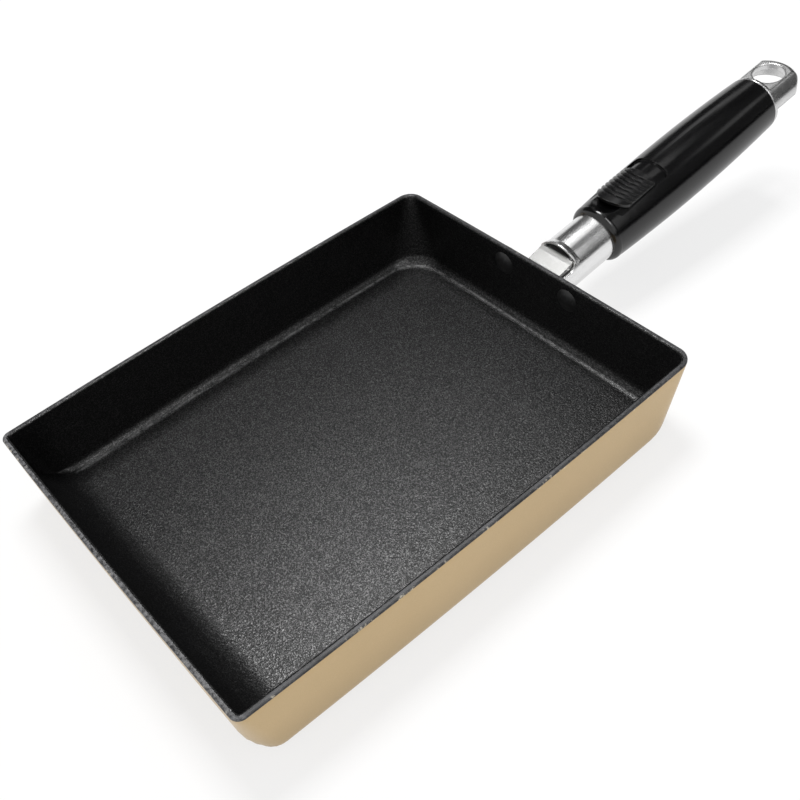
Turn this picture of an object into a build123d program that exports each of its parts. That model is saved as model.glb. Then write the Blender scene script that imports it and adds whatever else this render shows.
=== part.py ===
from build123d import *
import os
from math import atan2, cos, degrees, radians, sin, sqrt, tan

# Rectangular rolled-omelette pan with a handle that comes off, in millimetres.
# The origin is the centre of the flat underside. +X runs to the handle, +Z is up.
# Handle pieces are drawn in a frame of their own: X along the handle from the pan's
# wall, Z square to it. The words front and rear follow that X from here on.

os.makedirs("parts", exist_ok=True)

# One length that every cut runs past its work by
OVERRUN = 2.0

# Pan
PAN_LENGTH = 195.0
PAN_WIDTH = 150.0
PAN_HEIGHT = 33.0
SHEET = 2.2
WALL_DRAFT = 2.0
NOSE_DRAFT = 5.0
LONG_BOW = 1.3
SHORT_BOW = 0.6
RIM_CORNER = 6.2
FLOOR_CORNER = 20.0
NOSE_RIM_CORNER = 3.2
NOSE_FLOOR_CORNER = 10.5
SIDE_BEND = 6.5
NOSE_BEND = 21.5

# Handle axis: its slope, and its depth under the rim at the wall
HANDLE_RISE = 7.36
HANDLE_DROP = 9.65

# Bracket and its rivets
BRACKET_SHEET = 2.3
FLANGE_WIDTH = 49.0
FLANGE_TOP_DROP = 2.8
FLANGE_HEIGHT = 17.4
FLANGE_CORNER = 5.0
RIVET_SPACING = 33.9
RIVET_DROP = 7.6
RIVET_RADIUS = 2.5
RIVET_HEAD_RADIUS = 4.9
RIVET_HEAD_HEIGHT = 1.5
TONGUE_REACH = 38.0
TONGUE_TOP = 7.2
TONGUE_SKIRT = 1.0
NECK_START = 1.0
NECK_ROOT_TOP = 3.0
NECK_BEND_TOP = 5.7
NECK_PLATEAU = 6.5
NECK_BEND_REACH = 3.4
NECK_DIP_REACH = 9.8
NECK_ROUND = 2.0
NECK_HALF_WIDTH = 8.2

# Tube
TUBE_RADIUS = 10.4
TUBE_WALL = 0.9
TUBE_GAP = 0.5
NOTCH_REACH = 12.2
NOTCH_LEVEL = 4.0
NOTCH_ROUND = 3.5
FLARE = 0.7
FLARE_REACH = 2.8
FIT_GAP = 0.35

# Grip
GRIP_START = 32.2
GRIP_LENGTH = 100.9
GRIP_MOUTH_RADIUS = 11.1
GRIP_FRONT_RADIUS = 12.55
GRIP_RADIUS = 13.9
GRIP_REAR_RADIUS = 12.35
GRIP_NOSE = 3.0
GRIP_NOSE_SWELL = 0.6
GRIP_SWELL_SHARE = 0.52
SCOOP_RADIUS = 14.0
SCOOP_FLOOR = 11.25
SCOOP_REACH = 8.0
TRACK_RADIUS = 12.75
TRACK_CORNER = 2.0
GRIP_HEEL = 0.7

# Thumb slide
SLIDE_START = 39.4
SLIDE_LENGTH = 21.6
SLIDE_WIDTH = 16.1
SLIDE_NOSE = 8.6
SLIDE_TOP = 14.5
SLIDE_CROWN = 13.2
SLIDE_CORNER = 1.2
RIB_COUNT = 7
RIB_PITCH = 2.25
RIB_WIDTH = 1.1
RIB_HEIGHT = 0.6
RIB_CURVE = 13.0
RIB_START = 4.5
SLIDE_TRAVEL = 7.0

# Stem under the slide, and the pin through it
STEM_START = 45.2
STEM_LENGTH = 8.0
STEM_WIDTH = 6.0
STEM_FOOT = 4.3
SLIDE_PIN_RADIUS = 1.0
SLIDE_PIN_LEVEL = 6.3
TAB_MARGIN = 1.9
SLOT_GAP = 0.4

# Lock bar, its rod and its sloping slot
BAR_THICKNESS = 3.0
BAR_START = 43.4
BAR_BOTTOM = 4.2
BAR_TOP = 4.1
SHOULDER_GAP = 3.4
SHOULDER_LENGTH = 2.5
SHOULDER_RADIUS = 4.4
ROD_RADIUS = 2.0
ROD_TAIL = 1.5
CAM_GAP = 0.15
RUNNING_GAP = 0.05

# Clamp jaw and its pins
JAW_WIDTH = 8.8
JAW_PAD_START = 21.0
JAW_PAD_LENGTH = 12.0
JAW_PAD_DEPTH = 5.0
JAW_PIVOT_REACH = 36.0
JAW_PIVOT_DROP = 4.5
JAW_BOSS = 3.2
JAW_PIN_RADIUS = 1.5
CAM_REACH = 54.0
CAM_DROP = 1.5
CAM_PIN_RADIUS = 1.25
CAM_BOSS = 2.6
FORK_START = 41.0
JAW_OPENING = 6.0
SIDE_GAP = 0.3

# Spring and its seat
SPRING_WIRE = 0.8
SPRING_RADIUS = 3.2
SPRING_TURNS = 5.5
SPRING_ROOM = 14.0
SEAT_LENGTH = 5.0
CROSS_PIN_RADIUS = 1.25
CROSS_PIN_DROP = 6.0

# Plug, tie screw and washer
PLUG_LENGTH = 7.5
PLUG_DISTANCE = 13.0
SCREW_RADIUS = 2.5
SCREW_HEAD_RADIUS = 4.4
SCREW_HEAD_HEIGHT = 2.8
SCREW_GRIP = 3.4
WASHER_RADIUS = 4.2
WASHER_THICKNESS = 0.9
HOLE_GAP = 0.2

# End cap
CAP_LENGTH = 21.5
CAP_RADIUS = 12.0
CAP_ROUND = 9.5
CAP_TOP = 9.4
CAP_FOOT = 1.6
CAP_EDGE = 3.0
CAP_SKIN = 1.5
CAP_BOSS_RADIUS = 4.6
CAP_BOSS_LENGTH = 3.6
HANG_HOLE_RADIUS = 6.7
HANG_HOLE_REACH = 10.7
HANG_HOLE_DEPTH = 3.0
HANG_HOLE_EDGE = 0.5

# Values that follow from the sizes above
WALL_TOP_X = PAN_LENGTH / 2 + SHORT_BOW
WALL = Location((WALL_TOP_X, 0, PAN_HEIGHT), (0, WALL_DRAFT, 0))
AXIS_X = WALL_TOP_X - HANDLE_DROP * sin(radians(WALL_DRAFT))
AXIS_Z = PAN_HEIGHT - HANDLE_DROP * cos(radians(WALL_DRAFT))
HANDLE = Location((AXIS_X, 0, AXIS_Z), (0, -HANDLE_RISE, 0))
TUBE_BORE = TUBE_RADIUS - TUBE_WALL
TONGUE_RADIUS = TUBE_BORE - FIT_GAP
BAR_SHOULDER = CAM_REACH + CAM_BOSS + SHOULDER_GAP
SEAT_START = BAR_SHOULDER + SHOULDER_LENGTH + SPRING_ROOM
SEAT_END = SEAT_START + SEAT_LENGTH
TUBE_END = SEAT_END + PLUG_DISTANCE + PLUG_LENGTH
GRIP_END = GRIP_START + GRIP_LENGTH
HANG_HOLE_X = GRIP_END + HANG_HOLE_REACH
FLANGE_SEAT = SHORT_BOW * (FLANGE_WIDTH / PAN_WIDTH) ** 2


def block(x0, x1, y0, y1, z0, z1):
    """A box between two corners."""
    centre = Pos((x0 + x1) / 2, (y0 + y1) / 2, (z0 + z1) / 2)
    return centre * Box(x1 - x0, y1 - y0, z1 - z0)


def rod_x(radius, x0, x1, z=0):
    """A round bar along X."""
    return Pos((x0 + x1) / 2, 0, z) * Rot(0, 90, 0) * Cylinder(radius, x1 - x0)


def rod_y(radius, length, x, z):
    """A round bar across the handle, centred on it."""
    return Pos(x, 0, z) * Rot(90, 0, 0) * Cylinder(radius, length)


def side_face(points, rounds):
    """An outline in the side view, with some of its corners rounded."""
    face = make_face(Polyline(*points, close=True))
    for point, radius in rounds:
        corner = face.vertices().sort_by_distance(point)[0]
        face = fillet(corner, radius)
    return Plane.XZ * face


def save(part, node, frame=None):
    """Write one piece as parts/NODE.step, moved into the pan's frame."""
    placed = frame * part if frame else part
    placed.label = node
    export_step(placed, f"parts/{node}.step")
    return placed


# Pan body


def wall_lean(height, draft):
    """How far a drafted wall has come in from the rim at one height."""
    return (PAN_HEIGHT - height) * tan(radians(draft))


def pan_slice(height, skin):
    """The bowed outline inside the pan's skin at one height, sharper at the nose."""
    inset = skin + wall_lean(height, WALL_DRAFT)
    back = PAN_LENGTH / 2 - inset
    nose = skin + wall_lean(height, NOSE_DRAFT) - PAN_LENGTH / 2
    half = PAN_WIDTH / 2 - inset
    sides = [
        ThreePointArc((nose, -half), (0, -half - LONG_BOW), (back, -half)),
        ThreePointArc((back, -half), (back + SHORT_BOW, 0), (back, half)),
        ThreePointArc((back, half), (0, half + LONG_BOW), (nose, half)),
        ThreePointArc((nose, half), (nose - SHORT_BOW, 0), (nose, -half)),
    ]
    face = make_face(sides)
    drop = 1 - height / PAN_HEIGHT
    front_corner = NOSE_RIM_CORNER + (NOSE_FLOOR_CORNER - NOSE_RIM_CORNER) * drop - skin
    back_corner = RIM_CORNER + (FLOOR_CORNER - RIM_CORNER) * drop - skin
    face = fillet(face.vertices().sort_by(Axis.X)[:2], front_corner)
    return Pos(0, 0, height) * fillet(face.vertices().sort_by(Axis.X)[-2:], back_corner)


def nose_trim(skin):
    """What the large bend along the front edge takes off the form."""
    radius = NOSE_BEND - skin
    wall = skin + wall_lean(NOSE_BEND, NOSE_DRAFT) - PAN_LENGTH / 2 - SHORT_BOW
    centre = wall + radius / cos(radians(NOSE_DRAFT))
    top = NOSE_BEND - radius * sin(radians(NOSE_DRAFT))
    trim = block(wall - OVERRUN, centre, -PAN_WIDTH, PAN_WIDTH, skin - OVERRUN, top)
    return trim - rod_y(radius, 2 * PAN_WIDTH, centre, NOSE_BEND)


def pan_form(skin, top):
    """The filled form inside the pan's skin, up to a level."""
    form = loft([pan_slice(skin, skin), pan_slice(top, skin)], ruled=True)
    floor = form.faces().sort_by(Axis.Z)[0]
    return fillet(floor.edges(), SIDE_BEND - skin) - nose_trim(skin)


def make_pan():
    return pan_form(0, PAN_HEIGHT) - pan_form(SHEET, PAN_HEIGHT + OVERRUN)


# Bracket, in the wall's frame for its flange and the handle's for its tongue


def make_flange():
    """The plate against the wall, sunk by the wall's own bow."""
    plate = block(
        -FLANGE_SEAT, BRACKET_SHEET - FLANGE_SEAT,
        -FLANGE_WIDTH / 2, FLANGE_WIDTH / 2,
        -FLANGE_TOP_DROP - FLANGE_HEIGHT, -FLANGE_TOP_DROP,
    )
    return WALL * fillet(plate.edges().filter_by(Axis.X), FLANGE_CORNER)


def notch_form(gap):
    """The opening in the top of the tube's mouth, smaller all round by a gap."""
    level = NOTCH_LEVEL + gap
    corner = (NOTCH_REACH - gap, level)
    outline = [(-OVERRUN, level), corner, (NOTCH_REACH - gap, SLIDE_TOP), (-OVERRUN, SLIDE_TOP)]
    return extrude(side_face(outline, [(corner, NOTCH_ROUND)]), SLIDE_TOP, both=True)


def neck_profile(skin, extra):
    """Side view of the neck and tongue, with a thickness taken off its top."""
    foot = -TONGUE_SKIRT - extra
    end = TONGUE_REACH + extra
    bends = (
        (NECK_BEND_REACH, NECK_BEND_TOP - skin),
        (NECK_DIP_REACH, NECK_PLATEAU - skin),
        (NOTCH_REACH, TONGUE_TOP - skin),
    )
    points = [(NECK_START, foot), (NECK_START, NECK_ROOT_TOP - skin)]
    points += [*bends, (end, TONGUE_TOP - skin), (end, foot)]
    return extrude(side_face(points, [(bend, NECK_ROUND) for bend in bends]), TUBE_RADIUS, both=True)


def make_bracket():
    """A flange, a pressed channel inside the tube and wings that fill the notch."""
    profile = neck_profile(0, 0)
    channel = profile & rod_x(TONGUE_RADIUS, NECK_START, TONGUE_REACH)
    wings = block(
        NECK_START, NOTCH_REACH, -NECK_HALF_WIDTH, NECK_HALF_WIDTH, NOTCH_LEVEL, SLIDE_TOP,
    )
    hollow = rod_x(TONGUE_RADIUS - BRACKET_SHEET, NECK_START, TONGUE_REACH + OVERRUN)
    channel += wings & profile & notch_form(FIT_GAP)
    channel -= hollow & neck_profile(BRACKET_SHEET, OVERRUN)
    return HANDLE * channel + make_flange()


def rivet_head(seat, height):
    """A low dome turned about X, standing on its seat."""
    crest = seat + height
    dome = TangentArc((crest, 0), (seat, RIVET_HEAD_RADIUS), tangent=(0, 1))
    base = Polyline((seat, RIVET_HEAD_RADIUS), (seat, 0), (crest, 0))
    return revolve(Plane.XZ * make_face([dome, base]), Axis.X)


def make_rivets():
    """Two rivets: a low dome inside the pan, a formed head on the flange."""
    inner = -SHEET - FLANGE_SEAT / 2
    outer = BRACKET_SHEET - FLANGE_SEAT
    rivet = rod_x(RIVET_RADIUS, inner, outer)
    rivet += rivet_head(inner, -RIVET_HEAD_HEIGHT)
    rivet += rivet_head(outer, RIVET_HEAD_HEIGHT)
    spots = [WALL * Pos(0, side * RIVET_SPACING / 2, -RIVET_DROP) for side in (-1, 1)]
    return Compound(children=[spot * rivet for spot in spots])


# Handle tube


def lathe(points):
    """A body turned about the handle's axis from (reach, radius) points."""
    return revolve(Plane.XZ * make_face(Polyline(*points, close=True)), Axis.X)


def stem_slot(width_gap):
    """The room that the slide's stem sweeps through the tube and the grip."""
    half = STEM_WIDTH / 2 + width_gap
    end = STEM_START + STEM_LENGTH + SLIDE_TRAVEL
    return block(STEM_START - SLOT_GAP, end + SLOT_GAP, -half, half, 0, SLIDE_TOP + OVERRUN)


def cross_pin(reach, drop, radius):
    """A pin across the tube, ground flush with it."""
    barrel = rod_x(TUBE_RADIUS, reach - 2 * radius, reach + 2 * radius)
    return rod_y(radius, 2 * TUBE_RADIUS, reach, -drop) & barrel


def make_tube():
    mouth = NOTCH_REACH
    flare_end = mouth + FLARE_REACH
    tube = rod_x(TUBE_RADIUS, 0, TUBE_END) - rod_x(TUBE_BORE, 0, TUBE_END)
    upper = block(
        mouth, flare_end, -SLIDE_TOP, SLIDE_TOP, NOTCH_LEVEL + NOTCH_ROUND / 2, SLIDE_TOP,
    )
    middle = TUBE_RADIUS - TUBE_WALL / 2
    lip = TUBE_RADIUS + FLARE
    ring = lathe([(mouth, middle), (mouth, lip), (mouth + FLARE, lip),
                  (flare_end, TUBE_RADIUS), (flare_end, middle)])
    funnel = lathe([(mouth, 0), (mouth, TUBE_BORE + FLARE), (flare_end, TUBE_BORE), (flare_end, 0)])
    tube = tube + (ring & upper) - (funnel & upper)
    keep_out = WALL * block(
        -HANDLE_DROP, BRACKET_SHEET + TUBE_GAP, -SLIDE_TOP, SLIDE_TOP, -PAN_HEIGHT, HANDLE_DROP,
    )
    tube = tube - notch_form(0) - HANDLE.inverse() * keep_out - stem_slot(SLOT_GAP)
    for pin in (make_jaw_pin(), make_seat_pin(), make_plug_pin()):
        tube = tube - pin
    return tube


def make_jaw_pin():
    return cross_pin(JAW_PIVOT_REACH, JAW_PIVOT_DROP, JAW_PIN_RADIUS)


def make_seat_pin():
    return cross_pin((SEAT_START + SEAT_END) / 2, CROSS_PIN_DROP, CROSS_PIN_RADIUS)


def make_plug_pin():
    return cross_pin(TUBE_END - PLUG_LENGTH / 2, CROSS_PIN_DROP, CROSS_PIN_RADIUS)


# Grip


def grip_outline():
    """Half of the grip's long section: a rounded nose and one long swell."""
    nose_end = GRIP_START + GRIP_NOSE
    nose_middle = GRIP_START + GRIP_NOSE / 3
    middle_radius = (GRIP_FRONT_RADIUS + GRIP_MOUTH_RADIUS + GRIP_NOSE_SWELL) / 2
    swell = GRIP_START + GRIP_LENGTH * GRIP_SWELL_SHARE
    mouth = (GRIP_START, GRIP_MOUTH_RADIUS)
    nose = ThreePointArc(mouth, (nose_middle, middle_radius), (nose_end, GRIP_FRONT_RADIUS))
    back = ThreePointArc(
        (nose_end, GRIP_FRONT_RADIUS), (swell, GRIP_RADIUS), (GRIP_END, GRIP_REAR_RADIUS),
    )
    base = Polyline((GRIP_END, GRIP_REAR_RADIUS), (GRIP_END, 0), (GRIP_START, 0), mouth)
    return make_face([nose, back, base])


def slide_track():
    """The shallow recess that the thumb slide runs in."""
    half = SLIDE_WIDTH / 2 + SLOT_GAP
    end = SLIDE_START + SLIDE_LENGTH + SLIDE_TRAVEL
    room = block(SLIDE_START - SLOT_GAP, end + SLOT_GAP, -half, half, 0, SLIDE_TOP)
    room = fillet(room.edges().filter_by(Axis.Z), TRACK_CORNER)
    return room - rod_x(TRACK_RADIUS, GRIP_START, GRIP_END)


def make_grip():
    grip = revolve(Plane.XZ * grip_outline(), Axis.X)
    heel = grip.faces().sort_by(Axis.X)[-1]
    grip = fillet(heel.edges(), GRIP_HEEL)
    bore = rod_x(TUBE_RADIUS + RUNNING_GAP, GRIP_START - OVERRUN, TUBE_END)
    screw_way = rod_x(SCREW_RADIUS + HOLE_GAP, TUBE_END - OVERRUN, GRIP_END + OVERRUN)
    level = SCOOP_FLOOR + SCOOP_RADIUS
    scoop = rod_y(SCOOP_RADIUS, 2 * GRIP_RADIUS, GRIP_START + SCOOP_REACH, level)
    return grip - bore - screw_way - scoop - slide_track() - stem_slot(SLOT_GAP)


# End cap


def cap_form(skin, foot):
    """The end cap's form above a level, shrunk by a thickness."""
    front = GRIP_END + skin
    tip = GRIP_END + CAP_LENGTH
    centre = tip - CAP_ROUND
    half = CAP_RADIUS - skin
    plan = make_face([
        Polyline((centre, half), (front, half), (front, -half), (centre, -half)),
        EllipticalCenterArc((centre, 0), CAP_ROUND - skin, half, -90, arc_size=180),
    ])
    form = Pos(0, 0, foot) * extrude(plan, CAP_TOP - skin - foot)
    rims = form.edges().group_by(Axis.Z)[-1].filter_by_position(Axis.X, front + CAP_SKIN, tip)
    return fillet(rims, CAP_EDGE - skin) & rod_x(half, front, tip)


def make_cap():
    """A shell open underneath, on a round wall with a boss for the screw."""
    wall = rod_x(CAP_RADIUS, GRIP_END, GRIP_END + CAP_SKIN)
    outer = cap_form(0, CAP_FOOT)
    lip = Pos(HANG_HOLE_X, 0, CAP_TOP - HANG_HOLE_DEPTH / 2)
    sleeve = lip * Cylinder(HANG_HOLE_RADIUS + CAP_SKIN, HANG_HOLE_DEPTH)
    boss = rod_x(CAP_BOSS_RADIUS, GRIP_END, GRIP_END + CAP_BOSS_LENGTH)
    cap = outer - cap_form(CAP_SKIN, CAP_FOOT - OVERRUN) + (sleeve & outer) + wall + boss
    hole = lip * Cylinder(HANG_HOLE_RADIUS, 2 * HANG_HOLE_DEPTH)
    thread = rod_x(SCREW_RADIUS, GRIP_END - OVERRUN, GRIP_END + CAP_BOSS_LENGTH + OVERRUN)
    cap = cap - hole - thread
    hole_wall = cap.faces().sort_by_distance((HANG_HOLE_X, 0, CAP_TOP))[0]
    mouth = hole_wall.edges().sort_by(Axis.Z)[-1]
    return fillet(mouth, HANG_HOLE_EDGE)


# Plug, tie screw and washer


def make_plug():
    plug = rod_x(TUBE_BORE, TUBE_END - PLUG_LENGTH, TUBE_END)
    way = rod_x(SCREW_RADIUS + HOLE_GAP, TUBE_END - PLUG_LENGTH, TUBE_END)
    return plug - way - make_plug_pin()


def make_washer():
    end = TUBE_END - PLUG_LENGTH
    ring = rod_x(WASHER_RADIUS, end - WASHER_THICKNESS, end)
    return ring - rod_x(SCREW_RADIUS + HOLE_GAP, end - WASHER_THICKNESS, end)


def make_tie_screw():
    seat = TUBE_END - PLUG_LENGTH - WASHER_THICKNESS
    head = rod_x(SCREW_HEAD_RADIUS, seat - SCREW_HEAD_HEIGHT, seat)
    head = fillet(head.edges().sort_by(Axis.X)[0], SCREW_HEAD_HEIGHT / 2)
    half = SCREW_HEAD_HEIGHT / 4
    slit = block(
        seat - SCREW_HEAD_HEIGHT, seat - SCREW_HEAD_HEIGHT / 2,
        -SCREW_HEAD_RADIUS, SCREW_HEAD_RADIUS, -half, half,
    )
    return head - slit + rod_x(SCREW_RADIUS, seat, GRIP_END + SCREW_GRIP)


# Thumb slide


def slide_plan():
    """Rounded nose to the pan, square tail to the hand."""
    half = SLIDE_WIDTH / 2
    end = SLIDE_START + SLIDE_LENGTH
    shoulder = SLIDE_START + SLIDE_NOSE - sqrt(SLIDE_NOSE**2 - half**2)
    lines = [
        ThreePointArc((shoulder, -half), (SLIDE_START, 0), (shoulder, half)),
        Polyline((shoulder, half), (end, half), (end, -half), (shoulder, -half)),
    ]
    face = make_face(lines)
    return fillet(face.vertices(), SLIDE_CORNER)


def slide_crown(drop):
    """A long arched roof that trims the slide's top, lowered by a depth."""
    end = SLIDE_START + SLIDE_LENGTH
    return rod_x(SLIDE_CROWN, SLIDE_START, end, SLIDE_TOP - drop - SLIDE_CROWN)


def rib_arc(index):
    """One rib's band, curved like the slide's nose."""
    reach = SLIDE_START + RIB_START + RIB_PITCH * index + RIB_CURVE
    band = Circle(RIB_CURVE) - Circle(RIB_CURVE - RIB_WIDTH)
    side = Pos(-RIB_CURVE / 2, 0) * Rectangle(RIB_CURVE, SLIDE_WIDTH)
    return Pos(reach, 0, 0) * extrude(band & side, SLIDE_TOP)


def make_slide():
    blank = extrude(slide_plan(), SLIDE_TOP)
    nose_end = SLIDE_START + RIB_START - RIB_PITCH / 2
    nose = Pos(nose_end + RIB_CURVE, 0, 0) * Cylinder(RIB_CURVE, 2 * SLIDE_TOP + OVERRUN)
    slide = blank & slide_crown(RIB_HEIGHT)
    slide += (blank & slide_crown(0)) - nose
    for index in range(RIB_COUNT):
        slide += blank & slide_crown(0) & rib_arc(index)
    end = SLIDE_START + SLIDE_LENGTH
    saddle = rod_x(TRACK_RADIUS + FIT_GAP, SLIDE_START - OVERRUN, end + OVERRUN)
    return slide - saddle + make_stem()


def make_stem():
    half = STEM_WIDTH / 2
    root = TRACK_RADIUS + FIT_GAP + RIB_HEIGHT
    stem = block(STEM_START, STEM_START + STEM_LENGTH, -half, half, STEM_FOOT, root)
    slit = block(
        STEM_START - OVERRUN, STEM_START + STEM_LENGTH + OVERRUN,
        -BAR_THICKNESS / 2 - RUNNING_GAP, BAR_THICKNESS / 2 + RUNNING_GAP,
        STEM_FOOT - OVERRUN, SLIDE_PIN_LEVEL + TAB_MARGIN + RUNNING_GAP,
    )
    return stem - slit - make_slide_pin()


def make_slide_pin():
    middle = STEM_START + STEM_LENGTH / 2
    return rod_y(SLIDE_PIN_RADIUS, STEM_WIDTH, middle, SLIDE_PIN_LEVEL)


# Lock bar, spring and seat


def cam_slot():
    """A straight slot that the cam pin runs along as the bar is pulled."""
    arm = CAM_REACH - JAW_PIVOT_REACH
    rise = JAW_PIVOT_DROP - CAM_DROP
    turn = radians(JAW_OPENING)
    shift = arm * (1 - cos(turn)) + rise * sin(turn)
    lift = arm * sin(turn) - rise * (1 - cos(turn))
    start = (CAM_REACH, -CAM_DROP)
    end = (CAM_REACH - SLIDE_TRAVEL - shift, lift - CAM_DROP)
    radius = CAM_PIN_RADIUS + CAM_GAP
    slot = SlotCenterToCenter(sqrt((end[0] - start[0]) ** 2 + lift**2), 2 * radius)
    slope = degrees(atan2(end[1] - start[1], end[0] - start[0]))
    middle = Pos((start[0] + end[0]) / 2, (start[1] + end[1]) / 2)
    return extrude(Plane.XZ * (middle * Rot(0, 0, slope) * slot), BAR_THICKNESS, both=True)


def make_lock_bar():
    tab_start = STEM_START + RUNNING_GAP
    tab_end = STEM_START + STEM_LENGTH - RUNNING_GAP
    tab_top = SLIDE_PIN_LEVEL + TAB_MARGIN
    outline = [
        (BAR_START, -BAR_BOTTOM), (BAR_START, BAR_TOP), (tab_start, BAR_TOP),
        (tab_start, tab_top), (tab_end, tab_top), (tab_end, BAR_TOP),
        (BAR_SHOULDER, BAR_TOP), (BAR_SHOULDER, -BAR_BOTTOM),
    ]
    plate = extrude(side_face(outline, []), BAR_THICKNESS / 2, both=True)
    rod_start = BAR_SHOULDER + SHOULDER_LENGTH
    shoulder = rod_x(SHOULDER_RADIUS, BAR_SHOULDER, rod_start)
    rod = rod_x(ROD_RADIUS, rod_start, SEAT_END + ROD_TAIL)
    return plate + shoulder + rod - cam_slot() - make_slide_pin()


def make_spring():
    """A coil between the bar's shoulder and the seat, wound round the rod."""
    start = BAR_SHOULDER + SHOULDER_LENGTH + SPRING_WIRE / 2 + RUNNING_GAP
    length = SEAT_START - SPRING_WIRE / 2 - RUNNING_GAP - start
    path = Helix(
        pitch=length / SPRING_TURNS, height=length, radius=SPRING_RADIUS,
        center=(start, 0, 0), direction=(1, 0, 0),
    )
    wire = Plane(origin=path @ 0, z_dir=path % 0) * Circle(SPRING_WIRE / 2)
    return sweep(wire, path=path, is_frenet=True)


def make_seat():
    seat = rod_x(TUBE_BORE, SEAT_START, SEAT_END)
    guide = rod_x(ROD_RADIUS + RUNNING_GAP, SEAT_START, SEAT_END)
    return seat - guide - make_seat_pin()


# Clamp jaw


def make_jaw():
    """A lever whose front pad presses up inside the tongue's channel."""
    top = TONGUE_TOP - BRACKET_SHEET - SIDE_GAP
    pad_end = JAW_PAD_START + JAW_PAD_LENGTH
    pivot = -JAW_PIVOT_DROP
    cam = -CAM_DROP
    outline = [
        (JAW_PAD_START, top), (pad_end, top),
        (JAW_PIVOT_REACH + JAW_BOSS, pivot + JAW_BOSS), (CAM_REACH, cam + CAM_BOSS),
        (CAM_REACH + CAM_BOSS, cam + CAM_BOSS), (CAM_REACH + CAM_BOSS, cam - CAM_BOSS),
        (JAW_PIVOT_REACH + JAW_BOSS, pivot - JAW_BOSS),
        (JAW_PIVOT_REACH - JAW_BOSS, pivot - JAW_BOSS), (JAW_PAD_START, top - JAW_PAD_DEPTH),
    ]
    rounds = [(point, JAW_PIN_RADIUS) for point in outline[3:8]]
    jaw = extrude(side_face(outline, rounds), JAW_WIDTH / 2, both=True)
    half = BAR_THICKNESS / 2 + SIDE_GAP
    fork = block(
        FORK_START, CAM_REACH + CAM_BOSS + OVERRUN, -half, half, -TUBE_RADIUS, TUBE_RADIUS,
    )
    pivot_way = rod_y(JAW_PIN_RADIUS + RUNNING_GAP, JAW_WIDTH, JAW_PIVOT_REACH, pivot)
    return jaw - fork - pivot_way - make_cam_pin()


def make_cam_pin():
    return rod_y(CAM_PIN_RADIUS, JAW_WIDTH, CAM_REACH, -CAM_DROP)


# The whole pan


def main():
    rivets = make_rivets()
    bracket = make_bracket()
    pan = make_pan() - bracket - rivets
    save(pan, "pan_body")
    save(bracket - rivets, "bracket")
    save(rivets, "bracket_rivets")
    handle_pieces = {
        "handle_tube": make_tube,
        "grip": make_grip,
        "end_cap": make_cap,
        "tube_plug": make_plug,
        "plug_pin": make_plug_pin,
        "tie_washer": make_washer,
        "tie_screw": make_tie_screw,
        "thumb_slide": make_slide,
        "slide_pin": make_slide_pin,
        "lock_bar": make_lock_bar,
        "return_spring": make_spring,
        "spring_seat": make_seat,
        "seat_pin": make_seat_pin,
        "clamp_jaw": make_jaw,
        "jaw_pin": make_jaw_pin,
        "cam_pin": make_cam_pin,
    }
    for node, make in handle_pieces.items():
        save(make(), node, HANDLE)


main()
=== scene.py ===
import math
from typing import NamedTuple

import bmesh
import bpy
from bpy.props import FloatProperty, FloatVectorProperty, PointerProperty
from mathutils import Matrix, Vector


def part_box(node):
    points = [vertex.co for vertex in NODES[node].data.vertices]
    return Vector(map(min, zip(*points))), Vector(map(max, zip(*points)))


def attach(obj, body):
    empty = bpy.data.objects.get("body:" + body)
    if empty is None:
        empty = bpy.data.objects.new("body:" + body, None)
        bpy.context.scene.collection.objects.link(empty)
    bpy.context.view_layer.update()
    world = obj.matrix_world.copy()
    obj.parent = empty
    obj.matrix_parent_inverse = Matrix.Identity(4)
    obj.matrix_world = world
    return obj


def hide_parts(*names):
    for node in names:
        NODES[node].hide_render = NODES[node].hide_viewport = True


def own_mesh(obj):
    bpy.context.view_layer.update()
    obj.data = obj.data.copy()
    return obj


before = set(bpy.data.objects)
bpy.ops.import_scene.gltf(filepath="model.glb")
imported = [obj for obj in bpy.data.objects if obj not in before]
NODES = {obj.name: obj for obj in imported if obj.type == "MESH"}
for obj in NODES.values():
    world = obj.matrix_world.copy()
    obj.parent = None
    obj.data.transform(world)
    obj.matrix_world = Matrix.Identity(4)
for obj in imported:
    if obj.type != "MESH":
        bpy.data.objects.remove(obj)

bl_info = {
    "name": "Rectangular omelette pan",
    "version": (1, 0, 0),
    "blender": (4, 5, 0),
    "location": "3D View > Sidebar > Omelette pan",
    "description": "Builds the looks of a rolled-omelette pan around its packed solids",
    "category": "Object",
}

MM = 0.001
TOUCH = 0.001 * MM
WHITE = (1.0, 1.0, 1.0, 1.0)
PAN_LOW, PAN_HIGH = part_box("pan_body")
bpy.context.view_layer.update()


# Settings


def length(name, description, default):
    """A size in metres that the sidebar shows in the scene's units."""
    return FloatProperty(
        name=name, description=description, default=default, min=0.0, precision=5,
        unit="LENGTH", subtype="DISTANCE",
    )


def share(name, description, default):
    """A value from nothing to full."""
    return FloatProperty(
        name=name, description=description, default=default, min=0.0, max=1.0, subtype="FACTOR",
    )


def colour(name, description, default):
    """A linear colour."""
    return FloatVectorProperty(
        name=name, description=description, default=default, size=3, min=0.0, max=1.0,
        subtype="COLOR",
    )


def angle(name, description, degrees):
    """A turn or a slope."""
    return FloatProperty(
        name=name, description=description, default=math.radians(degrees),
        unit="ROTATION", subtype="ANGLE",
    )


def power(name, description, default):
    """A lamp's power."""
    return FloatProperty(name=name, description=description, default=default, min=0.0, unit="POWER")


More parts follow.
